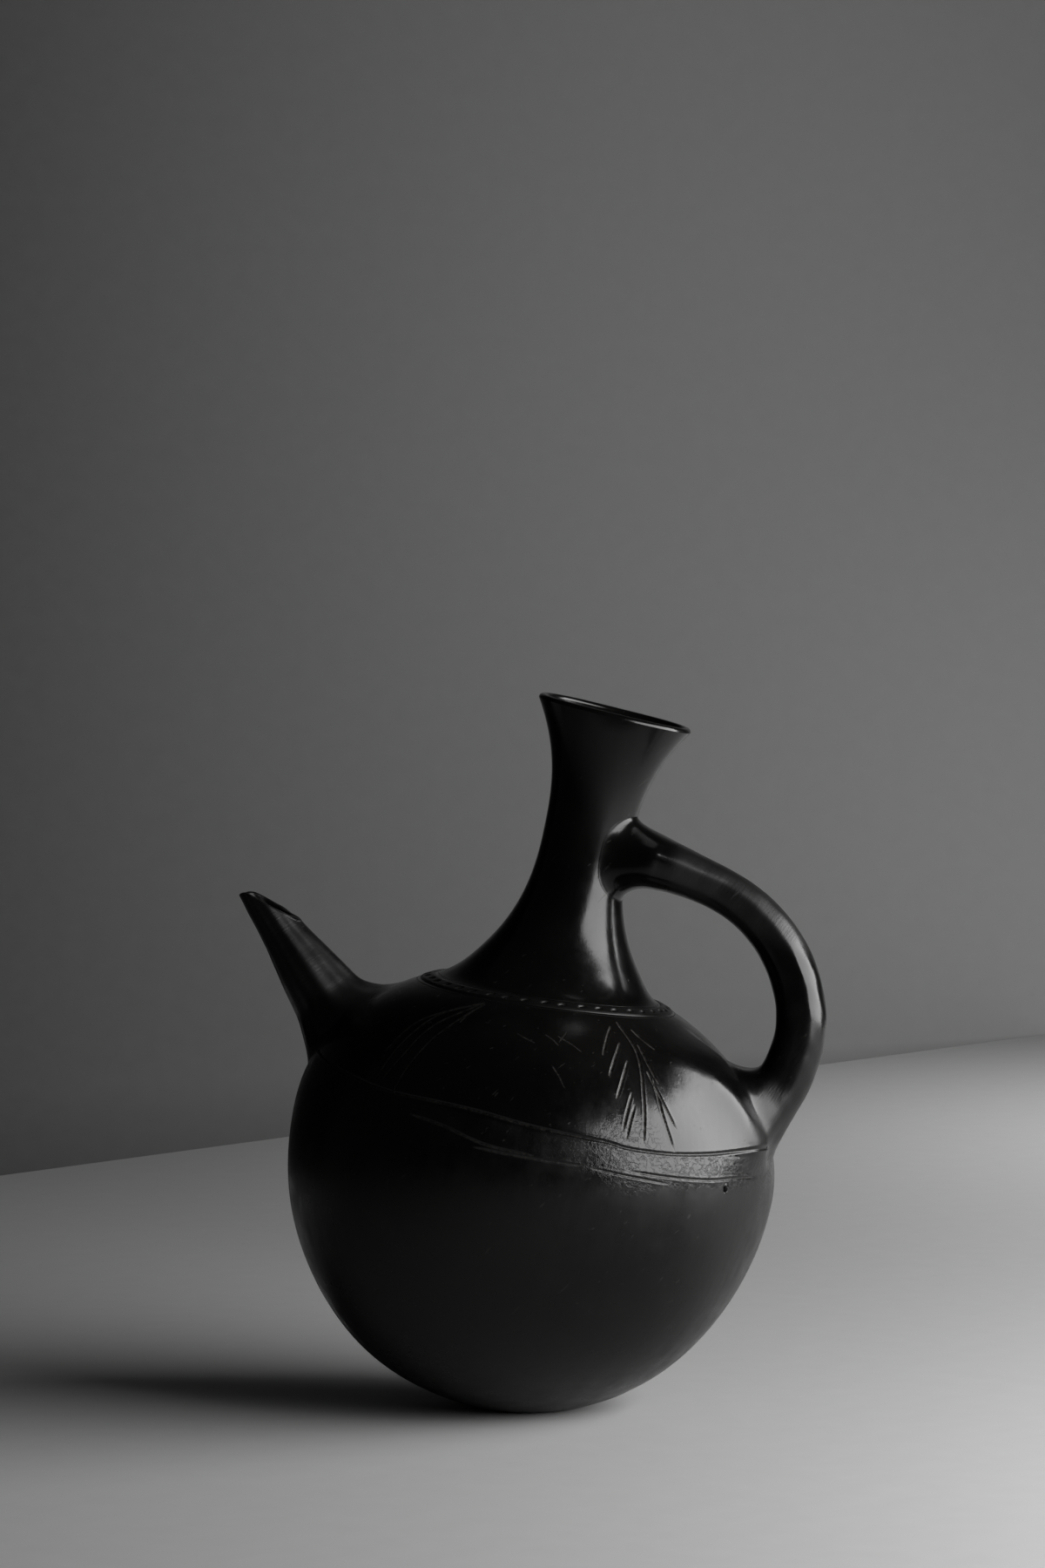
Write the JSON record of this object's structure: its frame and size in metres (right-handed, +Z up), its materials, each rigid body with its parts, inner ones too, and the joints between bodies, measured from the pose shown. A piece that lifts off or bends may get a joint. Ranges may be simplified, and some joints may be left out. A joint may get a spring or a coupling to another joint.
{
  "type": "clay coffee pot",
  "caption": "Round burnished black clay pot with a long flared neck, arched side handle and slant-cut spout, leaning on a flattened spot of its base.",
  "frame": {"origin": "middle of the flat resting spot under the round base, on the table", "axes": "+Z straight up from the table; +X towards the handle, the way the pot leans; the spout points to -X"},
  "size_m": [0.1817, 0.15, 0.2184],
  "materials": {
    "burnished_clay": "smoked black, hand-burnished to a soft gloss",
    "notched_clay": "smoked black, notched and only lightly rubbed"
  },
  "bodies": {
    "root": {"body_bowl": "burnished_clay", "body_shoulder": "burnished_clay", "neck_collar": "notched_clay", "neck": "burnished_clay", "mouth_flare": "burnished_clay", "spout_foot": "burnished_clay", "spout": "burnished_clay", "handle_neck_pad": "burnished_clay", "handle": "burnished_clay", "handle_shoulder_pad": "burnished_clay"}
  },
  "joints": []
}
